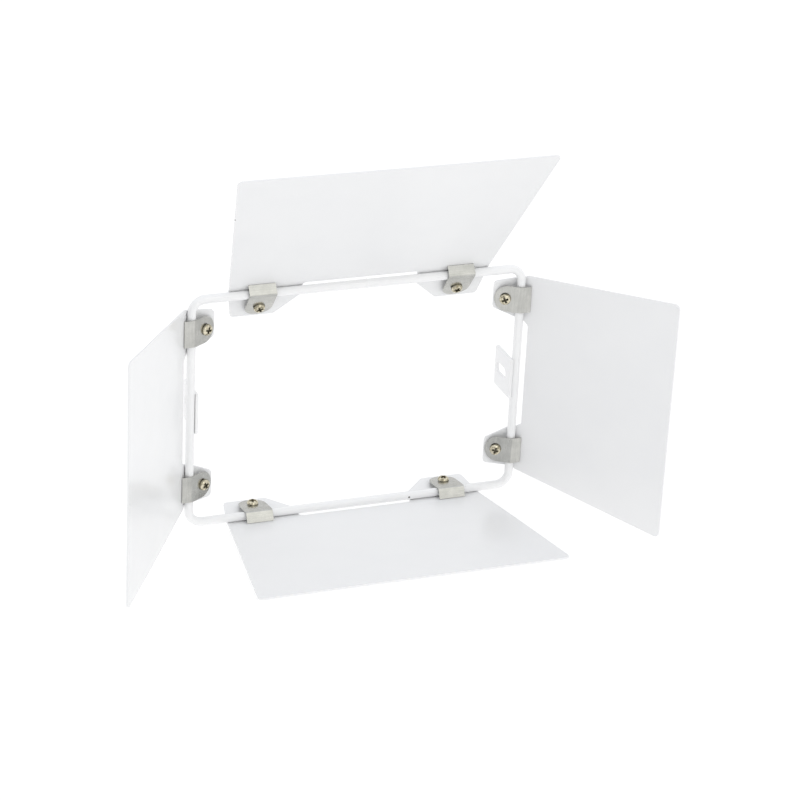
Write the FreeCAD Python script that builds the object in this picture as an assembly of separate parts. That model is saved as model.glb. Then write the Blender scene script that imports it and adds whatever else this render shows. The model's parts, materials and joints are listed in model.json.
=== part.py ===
import FreeCAD, Part
import math
import os

# Four-leaf barn door set for a small panel light. A closed frame of round rod carries two
# slotted tabs that bolt to the sides of the lamp. Four sheet leaves hang on the frame's four
# straight runs. Each leaf has two ears that pass behind the rod, and a creased clip screwed to
# each ear passes in front of it, so leaf and clip grip the rod as a friction hinge.
#
# Row frame, in millimetres: +X to the right and +Z up as seen from in front, +Y away from the
# viewer towards the lamp. The origin is midway between the two tab slots, on their common axis.
# The light leaves towards -Y.

V = FreeCAD.Vector

# Rod frame, measured on the rod's centre line
FRAME_WIDTH = 198.0
FRAME_HEIGHT = 138.6
CORNER_RADIUS = 8.0
ROD_DIAMETER = 5.0
SEAM_X = 3.5
SEAM_WIDTH = 1.6
SEAM_RISE = 0.2

# Side tabs and their slots
TAB_THICKNESS = 1.6
TAB_DEPTH = 23.5
TAB_HEIGHT = 25.0
TAB_CORNER_RADIUS = 1.5
TAB_FRONT_SETBACK = 0.3
SLOT_LENGTH = 13.5
SLOT_WIDTH = 6.0
SLOT_FROM_TAB_FRONT = 14.2
BEAD_END_MARGIN = 3.0
BEAD_LEG = 2.6
BEAD_START_ANGLE = 8.0
BEAD_END_ANGLE = 55.0

# Running clearance between the rod and everything that turns on it
PIVOT_GAP = 0.2

# Sheet leaves
SHEET = 1.0
LEAF_CORNER_RADIUS = 3.0
NOTCH_CORNER_RADIUS = 2.0
EAR_CORNER_RADIUS = 2.5

# The top and bottom leaves share one pattern, and so do the left and right leaves.
# Widths are measured from the leaf's side edge, so they follow the frame's size.
WIDE_LEAF = {
    "end_gap": 21.2,         # from the crossing rod's centre line to the leaf's side, at the hinge
    "flare": 14.7,           # each side runs out this much from hinge to free edge
    "length": 105.8,
    "bend": 12.0,            # ears turn forward out of the leaf's plane
    "ear_inset": 0.0,        # step from the leaf's side to the ear's side, at the bend
    "ear_root": 43.3,
    "ear_straight": 6.0,
    "ear_tip_outer": 3.6,
    "ear_tip_inner": 29.0,
    "notch_edge": 3.0,       # leaf edge between the ears, outward of the hinge line
    "notch_root": 43.3,
    "screw_side": 18.4,
    "head_clearance": 3.5,   # from the hinge's grip circle to the rim of the screw head
    "ear_past_screw": 9.7,
    "clip_past_screw": 8.2,
    "crease_out": 2.8,       # from the rod's axis out to the clip's crease
}
TALL_LEAF = {
    "end_gap": 7.2,
    "flare": 11.0,
    "length": 104.3,
    "bend": 46.0,
    "ear_inset": 1.5,
    "ear_root": 27.4,
    "ear_straight": 0.0,
    "ear_tip_outer": 4.0,
    "ear_tip_inner": 20.1,
    "notch_edge": 4.7,
    "notch_root": 30.6,
    "screw_side": 13.8,
    "head_clearance": 2.8,
    "ear_past_screw": 6.7,
    "clip_past_screw": 6.1,
    "crease_out": 0.6,
}

# Each leaf: its pattern, how far round the frame it sits, its opening angle out of the frame's
# plane as modelled, and how far it has slid along its rod from the middle.
LEAVES = {
    "top": (WIDE_LEAF, 0.0, 34.0, 0.5),
    "right": (TALL_LEAF, 90.0, 57.0, -2.0),
    "bottom": (WIDE_LEAF, 180.0, 94.4, -1.9),
    "left": (TALL_LEAF, 270.0, 57.0, 2.0),
}

# Clips
CLIP_WIDTH = 16.0
CLIP_SHEET = 0.8
CLIP_BEND_RADIUS = 0.4
CLIP_BEARING = 5.2

# M3 fasteners
SCREW_DIAMETER = 3.0
SCREW_LENGTH = 10.0
SCREW_HOLE_GAP = 0.1
HEAD_DIAMETER = 6.8
HEAD_HEIGHT = 1.9
HEAD_ROUND = 1.2
CROSS_LENGTH = 3.8
CROSS_WIDTH = 0.9
CROSS_DEPTH = 1.1
CROSS_TURN = 25.0
WASHER_DIAMETER = 7.0
WASHER_THICKNESS = 0.5
NUT_FLATS = 5.5
NUT_HEIGHT = 2.4
NUT_THREAD_GAP = 0.02

ROD_RADIUS = ROD_DIAMETER / 2
GRIP_RADIUS = ROD_RADIUS + PIVOT_GAP
TAB_OUTER_X = FRAME_WIDTH / 2 - ROD_RADIUS
TAB_FRONT_Y = -SLOT_FROM_TAB_FRONT
ROD_Y = TAB_FRONT_Y - TAB_FRONT_SETBACK + ROD_RADIUS
HOLE_RADIUS = SCREW_DIAMETER / 2 + SCREW_HOLE_GAP
HOLE_REACH = 2 * (GRIP_RADIUS + SHEET)
TOUCH = 1e-6

X_AXIS = V(1, 0, 0)
Y_AXIS = V(0, 1, 0)
Z_AXIS = V(0, 0, 1)


def save(node, shape):
    """Write one sub-part to its own STEP file."""
    shape.exportStep(os.path.join("parts", node + ".step"))


def rounded_face(corners, origin, across, along):
    """Face of a closed polygon whose corners are (x, y, radius), x across and y along."""
    at = [origin + across * x + along * y for x, y, _ in corners]
    count = len(corners)
    turns = []
    for index, (_, _, radius) in enumerate(corners):
        here = at[index]
        back = (at[index - 1] - here).normalize()
        ahead = (at[(index + 1) % count] - here).normalize()
        if radius == 0:
            turns.append((here, None, here))
            continue
        half = back.getAngle(ahead) / 2
        inward = (back + ahead).normalize()
        middle = here + inward * (radius / math.sin(half) - radius)
        step = radius / math.tan(half)
        turns.append((here + back * step, middle, here + ahead * step))
    edges = []
    for index, (start, middle, end) in enumerate(turns):
        if middle:
            edges.append(Part.Arc(start, middle, end).toShape())
        onward = turns[(index + 1) % count][0]
        if end.distanceToPoint(onward) > TOUCH:
            edges.append(Part.LineSegment(end, onward).toShape())
    return Part.Face(Part.Wire(edges))


def rod_frame():
    """Closed rounded rectangle of round rod: four straight runs and four quarter bends."""
    half_width = FRAME_WIDTH / 2
    half_height = FRAME_HEIGHT / 2
    pieces = []
    for turn, half_run, half_span in (
        (0, half_width, half_height),
        (90, half_height, half_width),
        (180, half_width, half_height),
        (270, half_height, half_width),
    ):
        straight = 2 * (half_run - CORNER_RADIUS)
        start = V(-straight / 2, ROD_Y, half_span)
        run = Part.makeCylinder(ROD_RADIUS, straight, start, X_AXIS)
        end = V(straight / 2, ROD_Y, half_span)
        section = Part.Face(Part.Wire(Part.makeCircle(ROD_RADIUS, end, X_AXIS)))
        centre = end - Z_AXIS * CORNER_RADIUS
        bend = section.revolve(centre, Y_AXIS, 90)
        for piece in (run, bend):
            piece.rotate(V(0, 0, 0), Y_AXIS, turn)
            pieces.append(piece)
    return pieces[0].multiFuse(pieces[1:]).removeSplitter()


def rod_seam():
    """Low ring left by the butt weld that closes the frame, on its top run."""
    start = V(SEAM_X - SEAM_WIDTH / 2, ROD_Y, FRAME_HEIGHT / 2)
    ring = Part.makeCylinder(ROD_RADIUS + SEAM_RISE, SEAM_WIDTH, start, X_AXIS)
    return ring.cut(Part.makeCylinder(ROD_RADIUS, SEAM_WIDTH, start, X_AXIS))


def side_tab(sign):
    """Flat tab on the inner side of a side rod, with a slot along the depth."""
    radius = TAB_CORNER_RADIUS
    front = TAB_FRONT_Y
    back = front + TAB_DEPTH
    half = TAB_HEIGHT / 2
    origin = V(sign * TAB_OUTER_X, 0, 0)
    inward = X_AXIS * (-sign * TAB_THICKNESS)
    outline = [(y, z, radius) for y, z in ((front, -half), (back, -half), (back, half), (front, half))]
    plate = rounded_face(outline, origin, Y_AXIS, Z_AXIS).extrude(inward)
    end = SLOT_LENGTH / 2
    side = SLOT_WIDTH / 2
    slot = [(y, z, side) for y, z in ((-end, -side), (end, -side), (end, side), (-end, side))]
    return plate.cut(rounded_face(slot, origin, Y_AXIS, Z_AXIS).extrude(inward))


def tab_bead(sign):
    """Weld bead in the groove between a side rod and the rear part of its tab."""
    centre = V(sign * FRAME_WIDTH / 2, ROD_Y, BEAD_END_MARGIN - TAB_HEIGHT / 2)

    def on_rod(angle):
        """Point on the rod's surface, angle from the tab's side towards the rear."""
        turn = math.radians(angle)
        return centre + V(-sign * math.cos(turn), math.sin(turn), 0) * ROD_RADIUS

    start = on_rod(BEAD_START_ANGLE)
    middle = on_rod((BEAD_START_ANGLE + BEAD_END_ANGLE) / 2)
    end = on_rod(BEAD_END_ANGLE)
    face_x = sign * TAB_OUTER_X
    heel = V(face_x, start.y, centre.z)
    toe = V(face_x, ROD_Y + BEAD_LEG, centre.z)
    edges = [
        Part.Arc(start, middle, end).toShape(),
        Part.LineSegment(end, toe).toShape(),
        Part.LineSegment(toe, heel).toShape(),
        Part.LineSegment(heel, start).toShape(),
    ]
    length = TAB_HEIGHT - 2 * BEAD_END_MARGIN
    return Part.Face(Part.Wire(edges)).extrude(Z_AXIS * length)


# Leaves, clips and fasteners are shaped in a hinge frame: the rod's axis is X through the
# origin, the leaf lies flat in the frame's plane and runs outward along +Z, and +Y is its rear.
# Ears are shaped flat in the same frame, inward along -Z, and turned forward about the rod by
# the leaf's bend. An ear behind the rod and its clip in front of it meet at the clip's tip, as
# a wedge round the grip circle. Clips, screw holes and fasteners are shaped about the wedge's
# middle line, laid along -Z, and turned forward to lie between ear and clip.

def half_width(leaf, crossing_span):
    """Half of the leaf's width at its hinge line."""
    return crossing_span / 2 - leaf["end_gap"]


def turn_forward(shape, angle):
    """Turn a shape forward about the rod, by an angle in degrees."""
    turned = shape.copy()
    turned.rotate(V(0, 0, 0), X_AXIS, -angle)
    return turned


def screw_inset(leaf):
    """Distance from the rod's axis in to the screw."""
    return GRIP_RADIUS + leaf["head_clearance"] + HEAD_DIAMETER / 2


def clip_inset(leaf):
    """Distance from the rod's axis in to the clip's tip, where it meets the ear."""
    return screw_inset(leaf) + leaf["clip_past_screw"]


def half_wedge(leaf):
    """Half of the angle between ear and clip, in radians, both tangent to the grip circle."""
    return math.asin(GRIP_RADIUS / clip_inset(leaf))


def clip_turn(leaf):
    """How far forward the wedge's middle line turns about the rod, in degrees."""
    return leaf["bend"] - math.degrees(half_wedge(leaf))


def seat_height(leaf, sheet, radius):
    """From the wedge's middle line to a round seat that rests on the outside of a sheet."""
    wedge = half_wedge(leaf)
    return (leaf["clip_past_screw"] + radius) * math.tan(wedge) + sheet / math.cos(wedge)


def screw_places(leaf, half):
    """Screw axes on the two ears, as points on the wedge's middle plane."""
    reach = half - leaf["screw_side"]
    return [V(side * reach, 0, -screw_inset(leaf)) for side in (-1, 1)]


def screw_hole(place):
    """Cutter for the hole that a screw passes through."""
    return Part.makeCylinder(HOLE_RADIUS, 2 * HOLE_REACH, place - Y_AXIS * HOLE_REACH, Y_AXIS)


def leaf_sheet(leaf, half):
    """One bent sheet: a flared plate with a shallow notch, and two ears behind the rod."""
    tip = half + leaf["flare"]
    root = half - leaf["notch_root"]
    face = Y_AXIS * GRIP_RADIUS
    edge = leaf["notch_edge"]
    inner = half - leaf["ear_root"]
    outer = half - leaf["ear_inset"]
    ear_length = screw_inset(leaf) + leaf["ear_past_screw"]
    plate_outline = [
        (-outer, 0, 0),
        (-half, edge / 2, 0),
        (-tip, leaf["length"], LEAF_CORNER_RADIUS),
        (tip, leaf["length"], LEAF_CORNER_RADIUS),
        (half, edge / 2, 0),
        (outer, 0, 0),
        (inner, 0, 0),
        (root, edge, NOTCH_CORNER_RADIUS),
        (-root, edge, NOTCH_CORNER_RADIUS),
        (-inner, 0, 0),
    ]
    sheet = rounded_face(plate_outline, face, X_AXIS, Z_AXIS).extrude(Y_AXIS * SHEET)
    for side in (-1, 1):
        near, far = side * inner, side * outer
        strip = [(near, 0, 0), (far, 0, 0), (far, SHEET, 0), (near, SHEET, 0)]
        bend = rounded_face(strip, face, X_AXIS, Y_AXIS).revolve(V(0, 0, 0), X_AXIS, -leaf["bend"])
        tip_inner = half - leaf["ear_tip_inner"]
        tip_outer = half - leaf["ear_tip_outer"]
        ear_outline = [
            (far, 0, 0),
            (side * tip_outer, ear_length, EAR_CORNER_RADIUS),
            (side * tip_inner, ear_length, EAR_CORNER_RADIUS),
            (near, leaf["ear_straight"], 0),
        ]
        if leaf["ear_straight"] > 0:
            ear_outline.append((near, 0, 0))
        ear = rounded_face(ear_outline, face, X_AXIS, -Z_AXIS).extrude(Y_AXIS * SHEET)
        sheet = sheet.multiFuse([bend, turn_forward(ear, leaf["bend"])])
    for place in screw_places(leaf, half):
        sheet = sheet.cut(turn_forward(screw_hole(place), clip_turn(leaf)))
    return sheet.removeSplitter()


def strip_section(path, thickness, radius):
    """Corners of a bent strip of even thickness whose rod side follows the path.

    The path and the section are (outward, forward, 0) points, and the far side is on the
    path's left.
    """
    points = [V(out, forward, 0) for out, forward in path]
    runs = [(end - start).normalize() for start, end in zip(points, points[1:])]
    offsets = [V(-run.y, run.x, 0) * thickness for run in runs]
    rod_side = [(points[0], 0)]
    far_side = [(points[0] + offsets[0], 0)]
    for here, into, out, offset in zip(points[1:], runs, runs[1:], offsets):
        turn = math.copysign(into.getAngle(out), into.cross(out).z)
        miter = into * (thickness * math.tan(turn / 2))
        inner, outer = (radius + thickness, radius) if turn > 0 else (radius, radius + thickness)
        rod_side.append((here, inner))
        far_side.append((here + offset - miter, outer))
    rod_side.append((points[-1], 0))
    far_side.append((points[-1] + offsets[-1], 0))
    return [(point.x, point.y, bend) for point, bend in rod_side + far_side[::-1]]


def clip(leaf, place):
    """Clip of one flat tongue from the ear up over the rod, a crease, and a flange to the leaf.

    Its path is drawn across the rod, outward and forward. The tongue is tangent to the grip
    circle, and the flange passes outside it and bears on the leaf.
    """
    turn = math.radians(clip_turn(leaf))
    tip = -clip_inset(leaf)
    out = leaf["crease_out"]
    path = [
        (tip, 0),
        (out, (out - tip) * math.tan(half_wedge(leaf))),
        (
            GRIP_RADIUS * math.sin(turn) + CLIP_BEARING * math.cos(turn),
            CLIP_BEARING * math.sin(turn) - GRIP_RADIUS * math.cos(turn),
        ),
    ]
    corners = strip_section(path, CLIP_SHEET, CLIP_BEND_RADIUS)
    start = V(place.x - CLIP_WIDTH / 2, 0, 0)
    strip = rounded_face(corners, start, Z_AXIS, -Y_AXIS).extrude(X_AXIS * CLIP_WIDTH)
    half = CLIP_WIDTH / 2
    past = CLIP_WIDTH + CLIP_BEARING
    outline = [(-half, tip, half), (half, tip, half), (half, past, 0), (-half, past, 0)]
    plan = rounded_face(outline, V(place.x, past, 0), X_AXIS, Z_AXIS).extrude(Y_AXIS * (-2 * past))
    return strip.common(plan).cut(screw_hole(place))


def screw(leaf, place, turn):
    """Pan-head screw with a cross recess, its head on the clip and its shank to the rear."""
    seat = place - Y_AXIS * seat_height(leaf, CLIP_SHEET, HEAD_DIAMETER / 2)
    top = seat - Y_AXIS * HEAD_HEIGHT
    head = Part.makeCylinder(HEAD_DIAMETER / 2, HEAD_HEIGHT, top, Y_AXIS)
    rim = [edge for edge in head.Edges if abs(edge.CenterOfMass.y - top.y) < TOUCH]
    head = head.makeFillet(HEAD_ROUND, rim)
    shank = Part.makeCylinder(SCREW_DIAMETER / 2, SCREW_LENGTH, seat, Y_AXIS)
    whole = head.fuse(shank)
    for slot_turn in (turn, turn + 90):
        corner = top - V(CROSS_LENGTH / 2, 0, CROSS_WIDTH / 2)
        slot = Part.makeBox(CROSS_LENGTH, CROSS_DEPTH, CROSS_WIDTH, corner)
        slot.rotate(top, Y_AXIS, slot_turn)
        whole = whole.cut(slot)
    return whole


def washer_seat(leaf, place):
    """Centre of the washer's front face, behind the ear."""
    return place + Y_AXIS * seat_height(leaf, SHEET, WASHER_DIAMETER / 2)


def washer(leaf, place):
    """Flat washer on the rear of the ear."""
    seat = washer_seat(leaf, place)
    disc = Part.makeCylinder(WASHER_DIAMETER / 2, WASHER_THICKNESS, seat, Y_AXIS)
    return disc.cut(Part.makeCylinder(HOLE_RADIUS, WASHER_THICKNESS, seat, Y_AXIS))


def nut(leaf, place):
    """Hexagon nut on the washer."""
    seat = washer_seat(leaf, place) + Y_AXIS * WASHER_THICKNESS
    reach = NUT_FLATS / math.sqrt(3)
    turns = [math.radians(60 * corner) for corner in range(6)]
    hexagon = [(reach * math.cos(turn), reach * math.sin(turn), 0) for turn in turns]
    body = rounded_face(hexagon, seat, X_AXIS, Z_AXIS).extrude(Y_AXIS * NUT_HEIGHT)
    return body.cut(Part.makeCylinder(SCREW_DIAMETER / 2 + NUT_THREAD_GAP, NUT_HEIGHT, seat, Y_AXIS))


def hang(shape, turn, angle, slide, span):
    """Place a hinge-frame shape on its rod at its opening angle."""
    placed = shape.copy()
    placed.translate(X_AXIS * slide)
    placed.rotate(V(0, 0, 0), X_AXIS, angle)
    placed.translate(V(0, ROD_Y, span / 2))
    placed.rotate(V(0, 0, 0), Y_AXIS, turn)
    return placed


def save_leaf(side):
    """Write one leaf's sheet, clips, screws, washers and nuts."""
    leaf, turn, angle, slide = LEAVES[side]
    wide = leaf is WIDE_LEAF
    span = FRAME_HEIGHT if wide else FRAME_WIDTH
    crossing_span = FRAME_WIDTH if wide else FRAME_HEIGHT
    half = half_width(leaf, crossing_span)
    places = screw_places(leaf, half)

    def placed(shape):
        """Hang a shape of the wedge's middle plane in its place on the frame."""
        return hang(turn_forward(shape, clip_turn(leaf)), turn, angle, slide, span)

    save("leaf_" + side, hang(leaf_sheet(leaf, half), turn, angle, slide, span))
    for name, place in zip("ab", places):
        save("clip_" + side + "_" + name, placed(clip(leaf, place)))
    cross_turns = [CROSS_TURN * (1 + 2 * number) for number in range(len(places))]
    fasteners = {
        "screws_": [screw(leaf, place, cross) for place, cross in zip(places, cross_turns)],
        "washers_": [washer(leaf, place) for place in places],
        "nuts_": [nut(leaf, place) for place in places],
    }
    for kind, pair in fasteners.items():
        save(kind + side, Part.makeCompound([placed(piece) for piece in pair]))


os.makedirs("parts", exist_ok=True)
save("frame_rod", rod_frame())
save("frame_seam", rod_seam())
for label, sign in (("left", -1), ("right", 1)):
    save("mounting_tab_" + label, side_tab(sign))
    save("tab_weld_" + label, tab_bead(sign))
for side in LEAVES:
    save_leaf(side)
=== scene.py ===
import json
import math
import bpy
import bmesh
import numpy as np
from mathutils import Matrix, Vector


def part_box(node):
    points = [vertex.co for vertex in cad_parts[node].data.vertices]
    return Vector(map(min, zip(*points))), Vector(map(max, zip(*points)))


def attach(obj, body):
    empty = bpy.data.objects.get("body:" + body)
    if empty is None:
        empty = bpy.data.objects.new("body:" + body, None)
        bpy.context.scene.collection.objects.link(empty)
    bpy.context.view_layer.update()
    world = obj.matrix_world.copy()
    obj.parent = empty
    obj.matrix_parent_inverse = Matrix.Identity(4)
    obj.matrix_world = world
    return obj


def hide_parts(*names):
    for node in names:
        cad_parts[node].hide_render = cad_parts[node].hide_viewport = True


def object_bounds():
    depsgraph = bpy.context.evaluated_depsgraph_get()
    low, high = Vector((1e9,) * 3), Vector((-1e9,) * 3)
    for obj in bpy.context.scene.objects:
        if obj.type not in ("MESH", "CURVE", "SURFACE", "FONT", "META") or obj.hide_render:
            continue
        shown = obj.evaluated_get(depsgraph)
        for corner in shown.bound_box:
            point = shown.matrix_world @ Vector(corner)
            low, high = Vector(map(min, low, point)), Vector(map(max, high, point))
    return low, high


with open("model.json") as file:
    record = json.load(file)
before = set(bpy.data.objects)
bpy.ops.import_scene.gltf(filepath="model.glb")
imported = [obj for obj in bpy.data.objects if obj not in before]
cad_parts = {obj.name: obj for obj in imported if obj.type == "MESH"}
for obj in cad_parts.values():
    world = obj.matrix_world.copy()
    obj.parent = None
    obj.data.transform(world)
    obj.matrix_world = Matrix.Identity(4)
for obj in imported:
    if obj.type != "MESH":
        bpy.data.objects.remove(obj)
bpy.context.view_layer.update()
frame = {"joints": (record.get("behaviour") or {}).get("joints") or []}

# ---- Rod frame --------------------------------------------------------------------------
# One length of 5 mm round steel rod, bent to a rectangle with four tight corners, closed by
# a butt weld on the top run and powder coated white with everything that is fixed to it. The
# frame's coat is the leaves' finish painted lighter, which is painted light.

MM = 0.001
ROD_RADIUS = 2.5 * MM
ROD_CORNER_RADIUS = 8.0 * MM
ROD_BEND_SQUASH = 0.035
ROD_BEND_STEPS = 14
ROD_SIDES = 32
# Painted light: the frame's white and its darker tone are set lighter than the leaves' coat, though
# both are the same finish.
ROD_WHITE_PAINTED_LIGHTER = (0.94, 0.94, 0.94, 1.0)
ROD_SHADE_PAINTED_LIGHTER = (0.92, 0.92, 0.925, 1.0)
COAT_ROUGHNESS = 0.24
COAT_WAVES = 0.2 * MM
PRIMER = (0.16, 0.15, 0.14, 1.0)
ROD_CHIP_X = 35.3 * MM
ROD_CHIP_SIZE = 0.7 * MM
MERGED_WITHIN = 0.002 * MM
SHORTEST_EDGE = 0.001 * MM

hinges = {joint["child"]: joint for joint in frame["joints"]}
rod_centre = Vector((0.0, hinges["barn_door_top"]["pos_m"][1], 0.0))
half_high = hinges["barn_door_top"]["pos_m"][2]
half_wide = hinges["barn_door_right"]["pos_m"][0]


class Signal:
    """One output socket of a material's node tree. Sums, differences and products of signals
    and plain numbers add their own Math nodes."""

    def __init__(self, tree, socket):
        self.tree = tree
        self.socket = socket

    def node(self, kind, output=0, inputs=None, **settings):
        """Add a node, set its settings, then its input sockets by name or number."""
        made = self.tree.nodes.new(kind)
        for name, value in settings.items():
            setattr(made, name, value)
        for name, value in (inputs or {}).items():
            if isinstance(value, Signal):
                self.tree.links.new(value.socket, made.inputs[name])
            else:
                made.inputs[name].default_value = value
        return Signal(self.tree, made.outputs[output])

    def maths(self, operation, first, second=0.0):
        return self.node("ShaderNodeMath", operation=operation, inputs={0: first, 1: second})

    def __add__(self, other):
        return self.maths("ADD", self, other)

    def __radd__(self, other):
        return self.maths("ADD", other, self)

    def __sub__(self, other):
        return self.maths("SUBTRACT", self, other)

    def __rsub__(self, other):
        return self.maths("SUBTRACT", other, self)

    def __mul__(self, other):
        return self.maths("MULTIPLY", self, other)

    def __rmul__(self, other):
        return self.maths("MULTIPLY", other, self)

    def scaled(self, x, y, z):
        """These coordinates stretched by a factor along each axis."""
        return self.node("ShaderNodeMapping", inputs={"Vector": self, "Scale": (x, y, z)})

    def noise(self, scale, detail=2.0, roughness=0.5):
        """Noise from 0 to 1 on these coordinates, scale in cells per metre."""
        settings = {"Vector": self, "Scale": scale, "Detail": detail, "Roughness": roughness}
        return self.node("ShaderNodeTexNoise", inputs=settings)

    def step(self, low, high):
        """0 below low and 1 above high, smooth between; the other way round if low > high."""
        ends = {"Value": self, "From Min": low, "From Max": high}
        return self.node("ShaderNodeMapRange", interpolation_type="SMOOTHSTEP", inputs=ends)

    def mix(self, first, second):
        """First colour where this signal is 0, second where it is 1."""
        inputs = {0: self, 6: first, 7: second}
        return self.node("ShaderNodeMix", output=2, data_type="RGBA", inputs=inputs)

    def distance_to(self, place):
        """Distance in metres from a point."""
        inputs = {0: self, 1: place}
        return self.node("ShaderNodeVectorMath", output="Value", operation="DISTANCE", inputs=inputs)


def new_material(name, **constants):
    """A material's shader node and its Object coordinates. Constants go on the shader's sockets."""
    material = bpy.data.materials.new(name)
    material.use_nodes = True
    shader = material.node_tree.nodes["Principled BSDF"]
    for socket, value in constants.items():
        shader.inputs[socket.replace("_", " ")].default_value = value
    coordinates = material.node_tree.nodes.new("ShaderNodeTexCoord")
    return material, shader, Signal(material.node_tree, coordinates.outputs["Object"])


def feed(shader, **signals):
    """Link signals to the shader's sockets, named with underscores for spaces."""
    for socket, signal in signals.items():
        signal.tree.links.new(signal.socket, shader.inputs[socket.replace("_", " ")])


def bump(height, distance, strength=1.0):
    """Normal of a surface whose height signal is worth distance metres per unit."""
    inputs = {"Height": height, "Distance": distance, "Strength": strength}
    return height.node("ShaderNodeBump", inputs=inputs)


def powder_coat(name, white, shade, chip, chip_size):
    """White semi-gloss powder coat: faint orange peel, slow waves in the film, a little
    unevenness in tone and gloss, and one ragged chip down to the dark primer."""
    constants = {"IOR": 1.5, "Coat_Weight": 0.25, "Coat_Roughness": 0.08}
    material, shader, place = new_material(name, **constants)
    tone = place.noise(38.0, detail=3.0).step(0.2, 0.9)
    gloss = place.noise(95.0, detail=4.0)
    peel = place.noise(620.0, detail=1.0)
    waves = place.noise(24.0, detail=1.0)
    ragged = place.distance_to(chip) + 0.5 * chip_size * place.noise(1500.0)
    chipped = ragged.step(1.3 * chip_size, chip_size)
    feed(
        shader,
        Base_Color=chipped.mix(tone.mix(white, shade), PRIMER),
        Roughness=COAT_ROUGHNESS + 0.1 * (gloss - 0.5),
        Normal=bump(0.05 * peel + waves, COAT_WAVES),
    )
    return material


def surface(name, *grids, **layers):
    """Mesh of one or more grids of points, each of shape (rows, columns, 3). A face joins two
    rows and two columns. Points that meet, at seams, poles and shared edges, are merged. A
    layer is a list of one array of numbers for each grid, kept as an attribute of its points."""
    corners, points, start = [], [], 0
    for grid in grids:
        rows, columns = grid.shape[:2]
        index = start + np.arange(rows * columns).reshape(rows, columns)
        quads = [index[:-1, :-1], index[:-1, 1:], index[1:, 1:], index[1:, :-1]]
        corners.append(np.stack(quads, axis=-1).reshape(-1, 4))
        points.append(grid.reshape(-1, 3))
        start += rows * columns
    mesh = bpy.data.meshes.new(name)
    mesh.from_pydata(np.vstack(points), [], np.vstack(corners).tolist())
    for layer, values in layers.items():
        flat_values = np.concatenate([value.ravel() for value in values])
        mesh.attributes.new(layer, "FLOAT", "POINT").data.foreach_set("value", flat_values)
    merged = bmesh.new()
    merged.from_mesh(mesh)
    bmesh.ops.remove_doubles(merged, verts=merged.verts, dist=MERGED_WITHIN)
    bmesh.ops.dissolve_degenerate(merged, edges=merged.edges, dist=SHORTEST_EDGE)
    merged.to_mesh(mesh)
    merged.free()
    mesh.shade_smooth()
    piece = bpy.data.objects.new(name, mesh)
    bpy.context.scene.collection.objects.link(piece)
    return piece


def close(piece, sharp_angle=40.0):
    """Turn a closed piece's faces outward, and keep its edges crisp above an angle."""
    shell = bmesh.new()
    shell.from_mesh(piece.data)
    bmesh.ops.recalc_face_normals(shell, faces=shell.faces)
    shell.to_mesh(piece.data)
    shell.free()
    piece.data.set_sharp_from_angle(angle=math.radians(sharp_angle))


def finish_piece(piece, body, material, slot, *nodes):
    """Give a piece its material, ride it on its body, and hide the CAD nodes it stands for."""
    piece.data.materials.append(material)
    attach(piece, body)
    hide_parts(*nodes)


def rod_path():
    """Stations along the closed centre line: position, outward direction in the frame's plane,
    and how far through a corner bend each is, from 0 to 1 and back to 0."""
    straight_wide = half_wide - ROD_CORNER_RADIUS
    straight_high = half_high - ROD_CORNER_RADIUS
    turns = [np.linspace(0.0, 90.0, ROD_BEND_STEPS) + 90.0 * quarter for quarter in range(4)]
    centres = [(straight_wide, straight_high), (-straight_wide, straight_high),
               (-straight_wide, -straight_high), (straight_wide, -straight_high)]
    angle = np.radians(np.concatenate(turns))
    outward = np.stack([np.cos(angle), np.zeros_like(angle), np.sin(angle)], axis=-1)
    centre = np.repeat([(x, 0.0, z) for x, z in centres], ROD_BEND_STEPS, axis=0)
    bending = np.tile(np.sin(np.linspace(0.0, math.pi, ROD_BEND_STEPS)), 4)
    place = centre + outward * ROD_CORNER_RADIUS + np.array(rod_centre)
    return place, outward, bending


def rod_surface():
    """Tube along the closed path: a circle of the rod's radius in the plane of the outward
    direction and Y, flattened slightly across the bends as a bent rod is."""
    place, outward, bending = rod_path()
    around = np.linspace(0.0, 2.0 * math.pi, ROD_SIDES + 1)
    flat = 1.0 - ROD_BEND_SQUASH * bending[:, None]
    radial = ROD_RADIUS * np.cos(around) * flat
    depth = ROD_RADIUS * np.sin(around)[:, None] * np.array((0.0, 1.0, 0.0))
    rings = place[:, None] + radial[..., None] * outward[:, None] + depth
    return np.concatenate([rings, rings[:1]])


rod_chip = (ROD_CHIP_X, rod_centre.y - ROD_RADIUS, -half_high)
# The rod, weld and tabs take the lighter coat, which is painted light.
rod_coat_painted_lighter = powder_coat("rod_powder_coat_painted_lighter", ROD_WHITE_PAINTED_LIGHTER, ROD_SHADE_PAINTED_LIGHTER, rod_chip, ROD_CHIP_SIZE)
rod = surface("rod_frame", rod_surface())
close(rod)
finish_piece(rod, "frame", rod_coat_painted_lighter, "frame_paint", "frame_rod")

# ---- Butt weld on the rod ---------------------------------------------------------------
# The rod's two ends meet a little right of the middle of the top run. The weld was dressed
# by hand, so it is a low uneven ring under the coat.

SEAM_SIDES = 48
SEAM_ROWS = 17
SEAM_SUNK = 0.15 * MM
SEAM_FILL = 0.46
SEAM_DRIFT = 0.06 * MM


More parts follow.
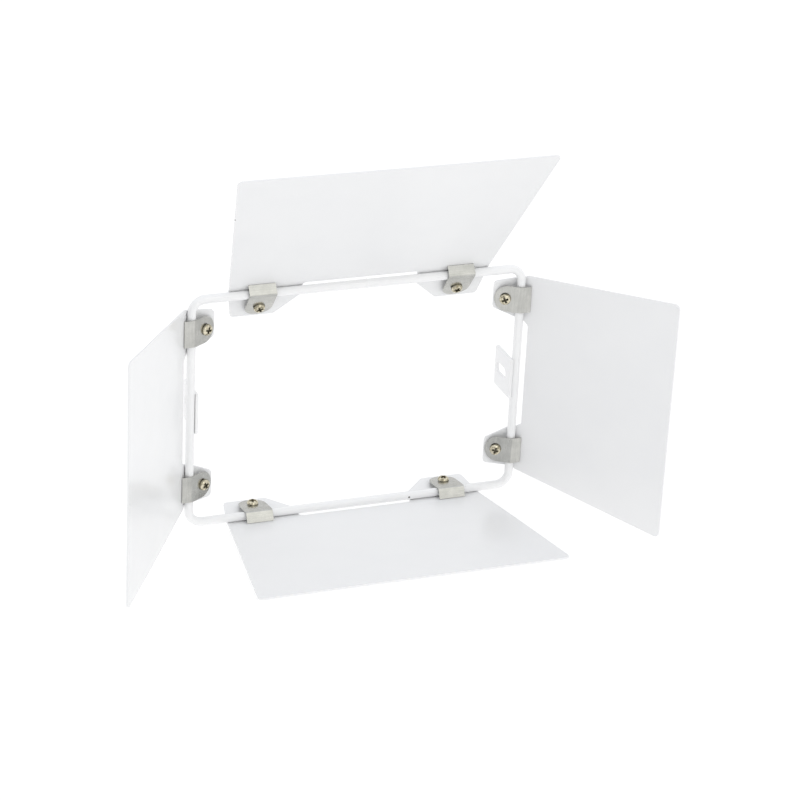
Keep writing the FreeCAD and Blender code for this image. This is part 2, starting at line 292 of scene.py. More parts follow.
def seam_surface():
    """Closed ring round the rod: its section is half an ellipse over the rod's surface and a
    flatter one sunk into it, with a slow ripple of the height round the rod."""
    low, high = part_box("frame_seam")
    rise = (high - low).z / 2.0 - ROD_RADIUS
    section = np.linspace(0.0, 2.0 * math.pi, SEAM_ROWS)[:, None]
    around = np.linspace(0.0, 2.0 * math.pi, SEAM_SIDES + 1)[None]
    ripple = 0.82 + 0.10 * np.sin(3.0 * around + 1.0) + 0.06 * np.sin(7.0 * around)
    height = np.where(section < math.pi, (rise + SEAM_SUNK) * ripple, SEAM_SUNK)
    radius = ROD_RADIUS - SEAM_SUNK + height * np.sin(section)
    half_width = (high.x - low.x) * SEAM_FILL * np.cos(section)
    x = (low.x + high.x) / 2.0 + half_width + SEAM_DRIFT * np.sin(2.0 * around)
    y = rod_centre.y + radius * np.sin(around)
    z = half_high + radius * np.cos(around)
    return np.stack(np.broadcast_arrays(x, y, z), axis=-1)


seam = surface("frame_butt_weld", seam_surface())
close(seam)
finish_piece(seam, "frame", rod_coat_painted_lighter, "frame_paint", "frame_seam")

# ---- Side tabs --------------------------------------------------------------------------
# Two punched plates of 1.6 mm steel, one on the inner side of each side rod. A slot along the
# depth takes the bolt into the lamp's side. The coat rounds every edge.

TAB_CORNER_RADIUS = 1.5 * MM
TAB_EDGE_ROUND = 0.35 * MM
SLOT_HALF_LENGTH = 6.75 * MM
SLOT_RADIUS = 3.0 * MM
TAB_AROUND = 24
TAB_ACROSS = 10
TAB_EDGE_STEPS = 5


def rounded_box_path(half_long, half_tall, radius, count):
    """Closed path of a rectangle with round corners, as (long, tall) offsets. Each quarter has
    count points on its arc, and the straight sides join the arcs."""
    quarter = np.concatenate([np.linspace(0.0, 90.0, count) + 90.0 * turn for turn in range(4)])
    angle = np.radians(quarter)
    signs = np.repeat([(1, 1), (-1, 1), (-1, -1), (1, -1)], count, axis=0)
    centre = signs * (half_long - radius, half_tall - radius)
    path = centre + radius * np.stack([np.cos(angle), np.sin(angle)], axis=-1)
    return np.concatenate([path, path[:1]])


def edge_section(thickness, edge_round, across):
    """Closed section of a plate from its rim to its slot: how far each point is from rim (0) to
    slot (1), how far it is pulled in from that edge, and its height. Both edges are round."""
    turn = np.radians(np.linspace(0.0, 90.0, TAB_EDGE_STEPS))
    inset = edge_round * (1.0 - np.cos(turn))
    corner = thickness / 2.0 - edge_round * (1.0 - np.sin(turn))
    middle = np.linspace(0.0, 1.0, across)[1:-1]
    share = np.concatenate([np.zeros_like(turn), middle, np.ones_like(turn)])
    pull = np.concatenate([inset, (1.0 - 2.0 * middle) * edge_round, -inset[::-1]])
    height = np.concatenate([corner, np.full_like(middle, thickness / 2.0), corner[::-1]])
    front = np.stack([share, pull, height], axis=-1)
    back = front[::-1] * (1.0, 1.0, -1.0)
    return np.concatenate([front, back, front[:1]]).T


def tab_surface(side):
    """Plate with a slot: for each station round the outline, a closed section runs from the rim
    to the matching station of the slot, and back on the other face."""
    low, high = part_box("mounting_tab_" + side)
    middle = (low + high) / 2.0
    half = (high - low) / 2.0
    rim = rounded_box_path(half.y, half.z, TAB_CORNER_RADIUS, TAB_AROUND)
    slot = rounded_box_path(SLOT_HALF_LENGTH, SLOT_RADIUS, SLOT_RADIUS, TAB_AROUND)
    rim_at = rim + (middle.y, middle.z)
    share, pull, height = edge_section(2.0 * half.x, TAB_EDGE_ROUND, TAB_ACROSS)
    inward = slot - rim_at
    inward /= np.linalg.norm(inward, axis=-1, keepdims=True)
    share, pull = share[:, None], pull[:, None]
    flat = rim_at[:, None] * (1.0 - share) + slot[:, None] * share + inward[:, None] * pull
    x = np.broadcast_to(middle.x + height, flat.shape[:2])
    return np.stack([x, flat[..., 0], flat[..., 1]], axis=-1)


for side in ("left", "right"):
    tab = surface("tab_plate_" + side, tab_surface(side))
    close(tab)
    finish_piece(tab, "frame", rod_coat_painted_lighter, "frame_paint", "mounting_tab_" + side)

# ---- Tab welds --------------------------------------------------------------------------
# A short hand-laid bead joins each tab to its rod in the groove behind the rod. The ripples of
# the puddle show through the coat.

BEAD_ROWS = 90
BEAD_SIDES = 20
BEAD_RADIUS = 1.25 * MM
BEAD_RIPPLE = 1.5 * MM
BEAD_WIDTH_SHARE = 0.9
BEAD_WANDER = 0.1 * MM


def bead_surface(side):
    """Bead along Z: a circle whose radius tapers to nothing at both ends and swells once per
    ripple, centred where the rod's surface turns away from the tab."""
    low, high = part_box("tab_weld_" + side)
    along = np.linspace(0.0, 1.0, BEAD_ROWS)[:, None]
    around = np.linspace(0.0, 2.0 * math.pi, BEAD_SIDES + 1)[None]
    z = low.z + (high.z - low.z) * along
    end = np.minimum(along, 1.0 - along) * (high.z - low.z) / BEAD_RADIUS
    taper = np.sqrt(np.clip(1.0 - (1.0 - np.minimum(end, 1.0)) ** 2, 0.0, 1.0))
    phase = 2.0 * math.pi * z / BEAD_RIPPLE + 0.6 * np.sin(9.0 * along)
    radius = BEAD_RADIUS * taper * (0.9 + 0.07 * np.cos(phase) + 0.04 * np.sin(23.0 * along))
    x = (low.x + high.x) / 2.0 + radius * np.cos(around) * BEAD_WIDTH_SHARE
    y = (low.y + high.y) / 2.0 + BEAD_WANDER * np.sin(5.0 * along) + radius * np.sin(around)
    return np.stack(np.broadcast_arrays(x, y, z), axis=-1)


for side in ("left", "right"):
    bead = surface("tab_bead_" + side, bead_surface(side))
    close(bead)
    finish_piece(bead, "frame", rod_coat_painted_lighter, "frame_paint", "tab_weld_" + side)

# ---- Barn door leaves -------------------------------------------------------------------
# Four leaves of 1 mm sheet steel, coated white. Each is one blank: a flared plate, a shallow
# notch where the rod lies, and two ears folded forward behind the rod. The top and bottom
# leaves share one blank, and so do the left and right leaves.

GRIP_RADIUS = ROD_RADIUS + 0.2 * MM
SHEET = 1.0 * MM
SHEET_EDGE_ROUND = 0.28 * MM
CUT_EDGE_STEPS = 3
CUT_EDGE_ANGLE = math.radians(50.0)
LEAF_CORNER_RADIUS = 3.0 * MM
NOTCH_CORNER_RADIUS = 2.0 * MM
EAR_CORNER_RADIUS = 2.5 * MM
LEAF_WAVE = 0.12 * MM
FOLD_ROWS = 9
PLATE_ROWS = 26
SIDE_COLUMNS = 10
NOTCH_COLUMNS = 18
BACK_STOP = -30.0
LEAF_WHITE = (0.895, 0.897, 0.90, 1.0)
LEAF_SHADE = (0.875, 0.878, 0.885, 1.0)
LEAF_CHIP = (-87.2 * MM, 71.7 * MM)
LEAF_CHIP_SIZE = 0.6 * MM
WIDE_BLANK = {
    "half": 77.8 * MM, "flare": 14.7 * MM, "length": 105.8 * MM, "fold": math.radians(12.0),
    "ear_inset": 0.0, "ear_root": 43.3 * MM, "ear_straight": 6.0 * MM, "ear_length": 19.3 * MM,
    "ear_tip_outer": 3.6 * MM, "ear_tip_inner": 29.0 * MM,
    "notch_edge": 3.0 * MM, "notch_root": 43.3 * MM,
    "screw_in": 9.6 * MM, "clip_tip": 17.8 * MM, "crease_out": 2.8 * MM,
}
TALL_BLANK = {
    "half": 62.1 * MM, "flare": 11.0 * MM, "length": 104.3 * MM, "fold": math.radians(46.0),
    "ear_inset": 1.5 * MM, "ear_root": 27.4 * MM, "ear_straight": 0.0, "ear_length": 15.6 * MM,
    "ear_tip_outer": 4.0 * MM, "ear_tip_inner": 20.1 * MM,
    "notch_edge": 4.7 * MM, "notch_root": 30.6 * MM,
    "screw_in": 8.9 * MM, "clip_tip": 15.0 * MM, "crease_out": 0.6 * MM,
}
BLANKS = {"top": WIDE_BLANK, "right": TALL_BLANK, "bottom": WIDE_BLANK, "left": TALL_BLANK}


class Hinge:
    """A leaf's run of rod. Points are given across the leaf along the rod, rearward, and
    outward from the rod, with the leaf flat in the frame's plane."""

    def __init__(self, side):
        joint = hinges["barn_door_" + side]
        self.blank = BLANKS[side]
        self.axis = np.array(joint["axis"], float)
        self.rod = np.array(joint["pos_m"], float)
        self.outward = self.rod - np.array(rod_centre)
        self.outward /= np.linalg.norm(self.outward)
        self.rearward = np.array((0.0, 1.0, 0.0))
        self.opening = math.radians(BACK_STOP - joint["range_deg"][0])
        self.slide = self.across_of("leaf_" + side)
        self.wedge = math.asin(GRIP_RADIUS / self.blank["clip_tip"])

    def across_of(self, node):
        """How far along the rod the middle of a CAD node is, from the middle of the run."""
        low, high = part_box(node)
        return float((np.array((low + high) / 2.0) - self.rod) @ self.axis)

    def place(self, across, rear, out, fold=0.0):
        """Turn points about the rod by the leaf's opening less the fold, and put them in place."""
        turn = self.opening - fold
        rear_turned = rear * math.cos(turn) - out * math.sin(turn)
        out_turned = rear * math.sin(turn) + out * math.cos(turn)
        across, rear_turned, out_turned = np.broadcast_arrays(across, rear_turned, out_turned)
        return (self.rod + across[..., None] * self.axis + rear_turned[..., None] * self.rearward
                + out_turned[..., None] * self.outward)


def filleted(corners, count=7):
    """Path through (first, second, radius) corners, each cut by an arc tangent to its sides."""
    points = [np.array(corner[:2]) for corner in corners]
    path = [points[0][None]]
    for before, here, after, corner in zip(points, points[1:], points[2:], corners[1:]):
        radius = corner[2]
        if radius == 0.0:
            path.append(here[None])
            continue
        back = (before - here) / np.linalg.norm(before - here)
        ahead = (after - here) / np.linalg.norm(after - here)
        half = math.acos(np.clip(back @ ahead, -1.0, 1.0)) / 2.0
        middle = (back + ahead) / np.linalg.norm(back + ahead)
        centre = here + middle * radius / math.sin(half)
        start = here + back * radius / math.tan(half) - centre
        end = here + ahead * radius / math.tan(half) - centre
        first = math.atan2(start[1], start[0])
        swing = math.remainder(math.atan2(end[1], end[0]) - first, 2.0 * math.pi)
        angle = first + swing * np.linspace(0.0, 1.0, count)
        path.append(centre + radius * np.stack([np.cos(angle), np.sin(angle)], axis=-1))
    path.append(points[-1][None])
    return np.concatenate(path)


def leaf_surface(hinge):
    """Front face of a leaf as three grids, a plate and two ears. Rows run from the ear tips out
    to the free edge. Each row spans the blank's outline at that height, and the part below the
    hinge line wraps round the rod's grip radius by the fold angle and then runs on flat."""
    blank = hinge.blank
    half, edge, length = blank["half"], blank["notch_edge"], blank["length"]
    wrap = GRIP_RADIUS * blank["fold"]
    tip = -wrap - blank["ear_length"]
    tip_middle = half - (blank["ear_tip_outer"] + blank["ear_tip_inner"]) / 2.0
    ear_outer = half - blank["ear_inset"]
    ear_inner = half - blank["ear_root"]
    outer = filleted([
        (tip_middle, tip, 0.0), (half - blank["ear_tip_outer"], tip, EAR_CORNER_RADIUS),
        (ear_outer, -wrap, 0.0), (ear_outer, 0.0, 0.0), (half, edge / 2.0, 0.0),
        (half + blank["flare"], length, LEAF_CORNER_RADIUS), (0.0, length, 0.0),
    ])[1:-1]
    inner = filleted([
        (tip_middle, tip, 0.0), (half - blank["ear_tip_inner"], tip, EAR_CORNER_RADIUS),
        (ear_inner, -wrap - blank["ear_straight"], 0.0), (ear_inner, 0.0, 0.0),
        (half - blank["notch_root"], edge, NOTCH_CORNER_RADIUS), (0.0, edge, 0.0),
    ])[1:-1]
    ear_rows = np.concatenate([outer[:, 1], inner[:, 1], -wrap * np.linspace(0.0, 1.0, FOLD_ROWS)])
    ear_rows = np.unique(np.round(ear_rows[ear_rows <= edge], 7))
    plate_rows = np.concatenate([outer[:, 1], np.linspace(edge, length, PLATE_ROWS)])
    plate_rows = np.unique(np.round(plate_rows[plate_rows >= edge], 7))
    share = np.concatenate([(0.0, 0.012), np.linspace(0.06, 0.94, SIDE_COLUMNS), (0.988, 1.0)])

    def side_edge(path, rows):
        return np.interp(rows, path[:, 1], path[:, 0])[:, None]

    def bent(across, along):
        turn = np.clip(-along / GRIP_RADIUS, 0.0, blank["fold"])
        ahead = np.maximum(along, 0.0) + np.minimum(along + wrap, 0.0)
        calm = np.clip(along / (0.4 * length), 0.0, 1.0) ** 2
        ripple = np.sin(across * 31.0 + 1.0) * np.sin(along * 37.0)
        wave = ripple + 0.6 * np.sin(across * 17.0 - along * 23.0)
        rear = GRIP_RADIUS * np.cos(turn) + ahead * np.sin(turn) + LEAF_WAVE * calm * wave
        out = ahead * np.cos(turn) - GRIP_RADIUS * np.sin(turn)
        return hinge.place(across + hinge.slide, rear, out)

    ear_in, ear_out = side_edge(inner, ear_rows), side_edge(outer, ear_rows)
    right_ear = ear_in + (ear_out - ear_in) * share
    notch_end = ear_in[-1, 0]
    plate_out = side_edge(outer, plate_rows)
    right = notch_end + (plate_out - notch_end) * share
    notch = np.linspace(-notch_end, notch_end, NOTCH_COLUMNS + 2)[1:-1]
    notch = np.broadcast_to(notch, (len(plate_rows), NOTCH_COLUMNS))
    plate = np.concatenate([-right[:, ::-1], notch, right], axis=1)
    return [
        bent(plate, plate_rows[:, None]),
        bent(right_ear, ear_rows[:, None]),
        bent(-right_ear[:, ::-1], ear_rows[:, None]),
    ]


def thicken(piece, thickness, outward, edge_round):
    """Give a face its sheet thickness, on the side its normals point to (1) or away from (-1),
    and round the cut edges."""
    solid = piece.modifiers.new("sheet", "SOLIDIFY")
    solid.thickness = thickness
    solid.offset = outward
    solid.use_even_offset = True
    edges = piece.modifiers.new("cut_edges", "BEVEL")
    edges.width = edge_round
    edges.segments = CUT_EDGE_STEPS
    edges.limit_method = "ANGLE"
    edges.angle_limit = CUT_EDGE_ANGLE
    edges.harden_normals = True


doors = {side: Hinge(side) for side in BLANKS}
leaf_chip = doors["top"].place(LEAF_CHIP[0], GRIP_RADIUS, LEAF_CHIP[1])
leaf_coat = powder_coat("leaf_powder_coat", LEAF_WHITE, LEAF_SHADE, tuple(leaf_chip), LEAF_CHIP_SIZE)
for side, hinge in doors.items():
    leaf = surface("leaf_sheet_" + side, *leaf_surface(hinge))
    thicken(leaf, SHEET, -1.0, SHEET_EDGE_ROUND)
    finish_piece(leaf, "barn_door_" + side, leaf_coat, "leaf_paint", "leaf_" + side)

# ---- Clips ------------------------------------------------------------------------------
# Eight strips of 0.8 mm stainless sheet, brushed along the rod. Each has a tongue that leans
# over the rod, a crease, and a flange that bears on the leaf. Ear and tongue make a wedge, both
# tangent to the grip circle, and hold the rod between them.

CLIP_WIDTH = 16.0 * MM
CLIP_SHEET = 0.8 * MM
CLIP_EDGE_ROUND = 0.16 * MM
CLIP_BEND_RADIUS = 0.4 * MM
CLIP_BEARING = 5.2 * MM
STEEL_LIGHT = (0.60, 0.595, 0.565, 1.0)
STEEL_DARK = (0.44, 0.44, 0.415, 1.0)
BRUSH_DRAW = 0.02
SMEAR_DRAW = 0.08
BRUSH_DEPTH = 0.012 * MM
TIP_STEPS = 16
CLIP_COLUMNS = 13


def brushed_steel(name, run):
    """Stainless sheet brushed along the rod: fine lines and longer smears, both noise drawn out
    along the run, over a few wide stains."""
    material, shader, place = new_material(name, Metallic=1.0)
    drawn_far = [BRUSH_DRAW if drawn else 1.0 for drawn in run]
    drawn_out = [SMEAR_DRAW if drawn else 1.0 for drawn in run]
    lines = place.scaled(*drawn_far).noise(5000.0, detail=3.0, roughness=0.6)
    smears = place.scaled(*drawn_out).noise(1100.0, detail=2.0)
    stains = place.noise(160.0, detail=3.0)
    tone = (0.35 * lines + 0.3 * smears + 0.5 * stains - 0.075).step(0.25, 0.75)
    feed(
        shader,
        Base_Color=tone.mix(STEEL_DARK, STEEL_LIGHT),
        Roughness=0.16 + 0.12 * smears + 0.06 * stains,
        Normal=bump(lines + 0.5 * smears, BRUSH_DEPTH),
    )
    return material


def clip_surface(hinge, middle):
    """Rod side of a clip about the wedge's middle line: a path drawn across the rod with one
    round bend, and a width that follows a half circle at the tip and is constant after it."""
    tip, out = hinge.blank["clip_tip"], hinge.blank["crease_out"]
    turn = hinge.blank["fold"] - hinge.wedge
    path = filleted([
        (-tip, 0.0, 0.0),
        (out, (out + tip) * math.tan(hinge.wedge), CLIP_BEND_RADIUS),
        (GRIP_RADIUS * math.sin(turn) + CLIP_BEARING * math.cos(turn),
         CLIP_BEARING * math.sin(turn) - GRIP_RADIUS * math.cos(turn), 0.0),
    ])
    length = np.concatenate([(0.0,), np.cumsum(np.linalg.norm(np.diff(path, axis=0), axis=-1))])
    radius = CLIP_WIDTH / 2.0
    round_tip = radius * (1.0 - np.cos(np.linspace(0.0, math.pi / 2.0, TIP_STEPS)))
    stations = np.unique(np.round(np.concatenate([round_tip, length[1:]]), 7))
    half = np.sqrt(np.clip(radius**2 - np.maximum(radius - stations, 0.0) ** 2, 0.0, None))
    outward = np.interp(stations, length, path[:, 0])
    forward = np.interp(stations, length, path[:, 1])
    across = middle + half[:, None] * np.linspace(-1.0, 1.0, CLIP_COLUMNS)
    return hinge.place(across, -forward[:, None], outward[:, None], turn)


clip_steel = {
    True: brushed_steel("brushed_stainless_level", (1, 0, 0)),
    False: brushed_steel("brushed_stainless_upright", (0, 0, 1)),
}
for side, hinge in doors.items():
    for mark in "ab":
        node = f"clip_{side}_{mark}"
        clip = surface("spring_" + node, clip_surface(hinge, hinge.across_of(node)))
        thicken(clip, CLIP_SHEET, 1.0, CLIP_EDGE_ROUND)
        steel = clip_steel[hinge.blank is WIDE_BLANK]
        finish_piece(clip, "barn_door_" + side, steel, "clip_steel", node)

# ---- Screws -----------------------------------------------------------------------------
# Eight M3 pan-head screws, nickel plated with a slight yellow cast, each with a cross recess.
# The heads sit on the clips, and the thread shows behind the nuts. Each cross, head rim and
# head underside is painted dark as painted shade.

HEAD_RADIUS = 3.4 * MM
HEAD_HEIGHT = 1.9 * MM
HEAD_CROWN = 0.25 * MM
HEAD_SHOULDER = 1.4 * MM
CROSS_REACH = 2.0 * MM
CROSS_HALF_WIDTH = 0.48 * MM
CROSS_DEPTH = 1.4 * MM
CROSS_WALL = 0.16 * MM
CROSS_TAPER = 0.35
HEAD_RINGS = 9
WIDEST_ARM = math.pi / 4.2
WIDEST_WALL = math.pi / 4.1
CROSS_TURNS = (25.0, 75.0)
THREAD_RADIUS = 1.5 * MM
THREAD_DEPTH = 0.27 * MM
THREAD_PITCH = 0.5 * MM
THREAD_SIDES = 25
ROWS_PER_PITCH = 8
THREAD_LEAD = 0.5 * MM
SHANK_LENGTH = 10.0 * MM
PLATE_LIGHT = (0.78, 0.72, 0.56, 1.0)
PLATE_DARK = (0.26, 0.23, 0.15, 1.0)
TOOL_MARKS = 0.008 * MM
# Painted shade: the near-black colour painted into the screws' crosses, onto their rims and under their
# heads, where shade falls.
PAINTED_SHADE_DARK = (0.012, 0.011, 0.008, 1.0)
# How dark the painted shade is in the cross, on the head's rim and under its foot.
CROSS_PAINTED_SHADE = 0.80
RIM_PAINTED_SHADE = 0.4
FOOT_PAINTED_SHADE = 0.8


def plated(name, light, dark, roughness):
    """Plated steel: bright where it is rubbed, duller in patches, with fine tool marks, and
    painted near black, as painted shade, where the piece's shade attribute says so."""
    material, shader, place = new_material(name, Metallic=1.0)
    patches = place.noise(700.0, detail=3.0).step(0.35, 0.75)
    marks = place.noise(5200.0, detail=2.0)
    grime = place.node("ShaderNodeAttribute", output="Fac", attribute_name="grime")
    feed(
        shader,
        Base_Color=grime.mix(patches.mix(light, dark), PAINTED_SHADE_DARK),
        Roughness=roughness + 0.12 * patches + 0.06 * marks + 0.4 * grime,
        Normal=bump(marks, TOOL_MARKS),
    )
    return material


def head_surface():
    """Pan head as rings of points, radius by angle: a crowned top with round shoulders, and a
    cross cut into it. Spokes bunch up along the cross's walls, so the walls stay straight. With
    them comes each point's painted shade, dark in the cross, on the rim and under the foot."""
    shoulder = HEAD_RADIUS - HEAD_SHOULDER * np.cos(np.radians(np.linspace(0.0, 90.0, HEAD_RINGS)))
    inner = np.linspace(0.0, CROSS_REACH - CROSS_WALL, HEAD_RINGS)
    rings = np.unique(np.round(np.concatenate([inner, [CROSS_REACH], shoulder]), 8))[:, None]

    def line_angle(offset, widest):
        """Angle at which each ring meets a line at an offset from the slot's middle."""
        return np.arcsin(np.minimum(offset / np.maximum(rings, offset), math.sin(widest)))

    arm = line_angle(CROSS_HALF_WIDTH, WIDEST_ARM)
    wall = line_angle(CROSS_HALF_WIDTH + CROSS_WALL, WIDEST_WALL)
    spokes, cut = [], []
    for quarter in range(4):
        turn = quarter * math.pi / 2.0
        for share in (-1.0, -0.4, 0.4, 1.0):
            spokes.append(turn + share * arm)
            cut.append(np.ones_like(arm))
        gap = math.pi / 2.0 - 2.0 * wall
        for share in (0.0, 0.25, 0.5, 0.75, 1.0):
            spokes.append(turn + wall + share * gap)
            cut.append(np.zeros_like(arm))
    spokes.append(spokes[0] + 2.0 * math.pi)
    cut.append(cut[0])
    angle, cut = np.hstack(spokes), np.hstack(cut)
    edge = np.clip((rings - (HEAD_RADIUS - HEAD_SHOULDER)) / HEAD_SHOULDER, 0.0, 1.0)
    drop = HEAD_CROWN * (rings / HEAD_RADIUS) ** 2 + HEAD_SHOULDER * (1.0 - np.sqrt(1.0 - edge**2))
    within = rings < CROSS_REACH - 0.5 * CROSS_WALL
    hub = rings < CROSS_HALF_WIDTH * 1.5
    taper = 1.0 - CROSS_TAPER * rings / CROSS_REACH
    depth = CROSS_DEPTH * taper * np.where(hub, 1.0, cut) * within
    dome = np.stack([rings * np.cos(angle), rings * np.sin(angle), HEAD_HEIGHT - drop - depth], axis=-1)
    seat = dome[-1] * (1.0, 1.0, 0.0)
    foot = np.full((2, angle.shape[1]), FOOT_PAINTED_SHADE)
    grime = np.where(depth > 0.0, CROSS_PAINTED_SHADE, 0.0)
    grime[-1] = RIM_PAINTED_SHADE
    points = np.concatenate([dome, seat[None], np.zeros_like(seat)[None]])
    return points, np.concatenate([grime, foot])


def thread_surface():
    """Shank: its radius swings between root and crest once per pitch along a helix, and closes
    to a point at both ends."""
    rows = round(SHANK_LENGTH / THREAD_PITCH * ROWS_PER_PITCH) + 1
    along = np.linspace(0.0, SHANK_LENGTH, rows)[:, None]
    around = np.linspace(0.0, 2.0 * math.pi, THREAD_SIDES)[None]
    turn = (along / THREAD_PITCH - around / (2.0 * math.pi)) % 1.0
    crest = np.abs(2.0 * turn - 1.0)
    lead = np.clip((SHANK_LENGTH - along) / THREAD_LEAD, 0.0, 1.0)
    radius = THREAD_RADIUS - THREAD_DEPTH * (1.0 - crest * lead)
    x, y = radius * np.cos(around), radius * np.sin(around)
    shank = np.stack(np.broadcast_arrays(x, y, -along), axis=-1)
    on_axis = np.array((0.0, 0.0, 1.0))
    return np.concatenate([shank[:1] * on_axis, shank, shank[-1:] * on_axis])


def seat_height(hinge, sheet, radius):
    """From the wedge's middle line to a round seat that rests on the outside of a sheet."""
    past_screw = hinge.blank["clip_tip"] - hinge.blank["screw_in"]
    return (past_screw + radius) * math.tan(hinge.wedge) + sheet / math.cos(hinge.wedge)


def on_screw(hinge, middle, height, points, turn=0.0):
    """Put points given about a screw's axis, forward positive, at a height forward of the
    wedge's middle line, turned about the axis."""
    first = points[..., 0] * math.cos(turn) - points[..., 1] * math.sin(turn)
    second = points[..., 0] * math.sin(turn) + points[..., 1] * math.cos(turn)
    blank = hinge.blank
    fold = blank["fold"] - hinge.wedge
    return hinge.place(middle + first, -height - points[..., 2], second - blank["screw_in"], fold)


screw_plating = plated("nickel_plate", PLATE_LIGHT, PLATE_DARK, 0.08)
head, head_grime = head_surface()
thread = thread_surface()
thread_grime = np.zeros(thread.shape[:2])
for side, hinge in doors.items():
    on_clip = seat_height(hinge, CLIP_SHEET, HEAD_RADIUS)
    parts = []
    for mark, turn in zip("ab", CROSS_TURNS):
        middle = hinge.across_of(f"clip_{side}_{mark}")
        parts.append(on_screw(hinge, middle, on_clip, head, math.radians(turn)))
        parts.append(on_screw(hinge, middle, on_clip, thread))
    # Each head carries its painted shade; the thread has none.
    grime = [head_grime, thread_grime] * len(CROSS_TURNS)
    screws = surface("pan_screws_" + side, *parts, grime=grime)
    close(screws, 35.0)
    finish_piece(screws, "barn_door_" + side, screw_plating, "screw_plate", "screws_" + side)

# ---- Washers and nuts -------------------------------------------------------------------
# Behind each ear a flat washer and a plain hexagon nut, both bright zinc plated. The nut's
# corners are chamfered front and back.

WASHER_SIDES = 48
WASHER_RADIUS = 3.5 * MM
WASHER_BORE_RADIUS = 1.6 * MM
WASHER_THICKNESS = 0.5 * MM
WASHER_EDGE = 0.12 * MM
NUT_FLAT_RADIUS = 2.75 * MM
NUT_HEIGHT = 2.4 * MM
NUT_SIDES = 73
NUT_CHAMFER_RADIUS = 2.6 * MM
NUT_CHAMFER_DEPTH = 0.5 * MM
NUT_CHAMFER_STEPS = 6
NUT_CHAMFER_ANGLE = math.radians(30.0)
NUT_BORE_RADIUS = THREAD_RADIUS + 0.02 * MM
NUT_MOUTH = 0.25 * MM
NUT_TURNS = (0.2, 0.6)
ZINC_LIGHT = (0.74, 0.76, 0.78, 1.0)
ZINC_DARK = (0.52, 0.53, 0.54, 1.0)


def washer_surface():
    """Flat ring: a closed rectangular section with broken corners, carried round the axis."""
    inner, outer = WASHER_BORE_RADIUS, WASHER_RADIUS
    section = np.array([
        (inner, 0.0), (outer - WASHER_EDGE, 0.0), (outer, WASHER_EDGE),
        (outer, WASHER_THICKNESS - WASHER_EDGE), (outer - WASHER_EDGE, WASHER_THICKNESS),
        (inner, WASHER_THICKNESS), (inner, 0.0),
    ])
    around = np.linspace(0.0, 2.0 * math.pi, WASHER_SIDES + 1)
    radius = section[:, :1]
    height = np.broadcast_to(-section[:, 1:], (len(section), len(around)))
    return np.stack([radius * np.cos(around), radius * np.sin(around), height], axis=-1)


def nut_surface():
    """Hexagon ring: the outer radius is the lesser of the hexagon's and a cone's that opens from
    each face, and the bore has a countersunk mouth."""
    around = np.radians(np.linspace(0.0, 360.0, NUT_SIDES))
    hexagon = NUT_FLAT_RADIUS / np.cos((around % (math.pi / 3.0)) - math.pi / 6.0)
    near_face = np.linspace(0.0, NUT_CHAMFER_DEPTH, NUT_CHAMFER_STEPS)
    heights = np.concatenate([near_face, NUT_HEIGHT - near_face[::-1]])[:, None]
    from_face = np.minimum(heights, NUT_HEIGHT - heights)
    outside = np.minimum(hexagon, NUT_CHAMFER_RADIUS + from_face / math.tan(NUT_CHAMFER_ANGLE))
    mouth = np.array([
        (NUT_MOUTH, NUT_HEIGHT), (0.0, NUT_HEIGHT - NUT_MOUTH), (0.0, NUT_MOUTH), (NUT_MOUTH, 0.0),
    ])
    bore = np.broadcast_to(NUT_BORE_RADIUS + mouth[:, :1], (len(mouth), NUT_SIDES))
    radius = np.concatenate([outside, bore, outside[:1]])
    height = np.concatenate([heights, mouth[:, 1:], heights[:1]])
    x, y = radius * np.cos(around), radius * np.sin(around)
    return np.stack(np.broadcast_arrays(x, y, -height), axis=-1)


zinc = plated("bright_zinc", ZINC_LIGHT, ZINC_DARK, 0.26)
for side, hinge in doors.items():
    middles = [hinge.across_of(f"clip_{side}_{mark}") for mark in "ab"]
    on_ear = -seat_height(hinge, SHEET, WASHER_RADIUS)
    rings = [on_screw(hinge, middle, on_ear, washer_surface()) for middle in middles]
    hexagons = [
        on_screw(hinge, middle, on_ear - WASHER_THICKNESS, nut_surface(), turn)
        for middle, turn in zip(middles, NUT_TURNS)
    ]
    washers = surface("flat_washers_" + side, *rings)
    nuts = surface("hex_nuts_" + side, *hexagons)
    for piece, node in ((washers, "washers_" + side), (nuts, "nuts_" + side)):
        close(piece, 25.0)
        finish_piece(piece, "barn_door_" + side, zinc, "zinc_plate", node)

# ---- Floor, light and camera ------------------------------------------------------------
# A lit white table in a pale room, with a soft light high in front, a pale ceiling, and the
# darker open side of the room on the left. The lens is long, a little above and left of the
# object.

FLOOR_SIZE = 12.0
TABLE_WHITE = (0.35, 0.35, 0.35, 1.0)
TABLE_GLOW = (1.0, 1.0, 1.0, 1.0)
TABLE_GLOW_STRENGTH = 0.69
ROOM = (0.885, 0.886, 0.888, 1.0)
OPEN_SIDE = (0.62, 0.62, 0.63, 1.0)
OPEN_SIDE_FROM = (-0.88, -0.45, 0.1)
OPEN_SIDE_FADE = (0.9, 0.4)
SOFT_LIGHT = (1.64, 1.64, 1.58, 1.0)
SOFT_LIGHT_FROM = (0.10, -0.82, 0.56)
SOFT_LIGHT_FADE = (0.38, 0.22)
OVERHEAD = (1.02, 1.04, 1.08, 1.0)
OVERHEAD_FROM = (0.0, 0.0, 1.0)
OVERHEAD_FADE = (1.0, 0.6)
CAMERA_AZIMUTH = math.radians(-21.4)
CAMERA_ELEVATION = math.radians(24.84)
CAMERA_ROLL = math.radians(2.87)
CAMERA_DISTANCE = 1.6251
CAMERA_AIM = (25.4 * MM, -2.8 * MM)
LENS = 127.2


def lit_table():
    """White acrylic lit from below, so that what stands over it hardly shades it."""
    constants = {
        "Base_Color": TABLE_WHITE,
        "Roughness": 0.6,
        "Emission_Color": TABLE_GLOW,
        "Emission_Strength": TABLE_GLOW_STRENGTH,
    }
    return new_material("lit_table", **constants)[0]


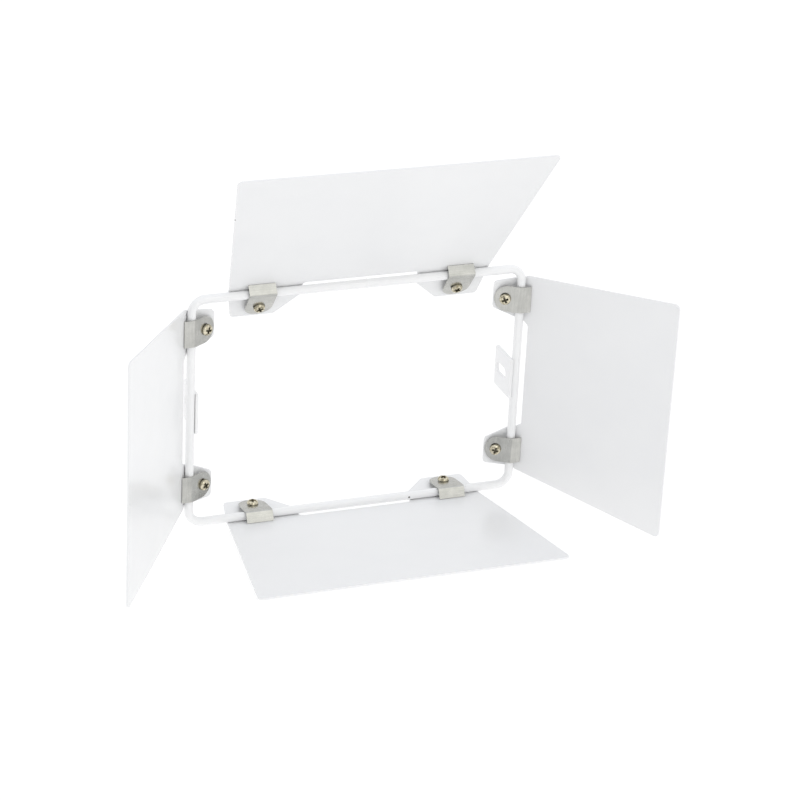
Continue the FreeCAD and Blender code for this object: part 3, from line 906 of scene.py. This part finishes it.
def studio():
    """Room colour by direction: a dark patch and two bright ones, each fading into the room by
    its distance on the unit sphere."""
    world = bpy.data.worlds.new("studio")
    world.use_nodes = True
    tree = world.node_tree
    direction = Signal(tree, tree.nodes.new("ShaderNodeTexCoord").outputs["Generated"])
    open_side = direction.distance_to(OPEN_SIDE_FROM).step(*OPEN_SIDE_FADE)
    overhead = direction.distance_to(OVERHEAD_FROM).step(*OVERHEAD_FADE)
    soft_light = direction.distance_to(SOFT_LIGHT_FROM).step(*SOFT_LIGHT_FADE)
    colour = open_side.mix(ROOM, OPEN_SIDE)
    colour = overhead.mix(colour, OVERHEAD)
    colour = soft_light.mix(colour, SOFT_LIGHT)
    tree.links.new(colour.socket, tree.nodes["Background"].inputs["Color"])
    return world


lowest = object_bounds()[0]
floor_corners = np.array([[(-1.0, -1.0), (1.0, -1.0)], [(-1.0, 1.0), (1.0, 1.0)]]) * FLOOR_SIZE / 2.0
floor_grid = np.concatenate([floor_corners, np.full((2, 2, 1), lowest.z)], axis=-1)
floor = surface("floor", floor_grid)
floor.data.materials.append(lit_table())

bpy.context.scene.world = studio()
bpy.context.scene.view_settings.view_transform = "Standard"

back = Vector((math.sin(CAMERA_AZIMUTH) * math.cos(CAMERA_ELEVATION),
               -math.cos(CAMERA_AZIMUTH) * math.cos(CAMERA_ELEVATION), math.sin(CAMERA_ELEVATION)))
level = Vector((math.cos(CAMERA_AZIMUTH), math.sin(CAMERA_AZIMUTH), 0.0))
upright = back.cross(level)
right = level * math.cos(CAMERA_ROLL) + upright * math.sin(CAMERA_ROLL)
up = upright * math.cos(CAMERA_ROLL) - level * math.sin(CAMERA_ROLL)
spot = rod_centre + back * CAMERA_DISTANCE + right * CAMERA_AIM[0] + up * CAMERA_AIM[1]
camera = bpy.data.objects.new("camera", bpy.data.cameras.new("camera"))
camera.data.lens = LENS
camera.matrix_world = Matrix((right, up, back)).transposed().to_4x4()
camera.location = spot
bpy.context.scene.collection.objects.link(camera)
bpy.context.scene.camera = camera
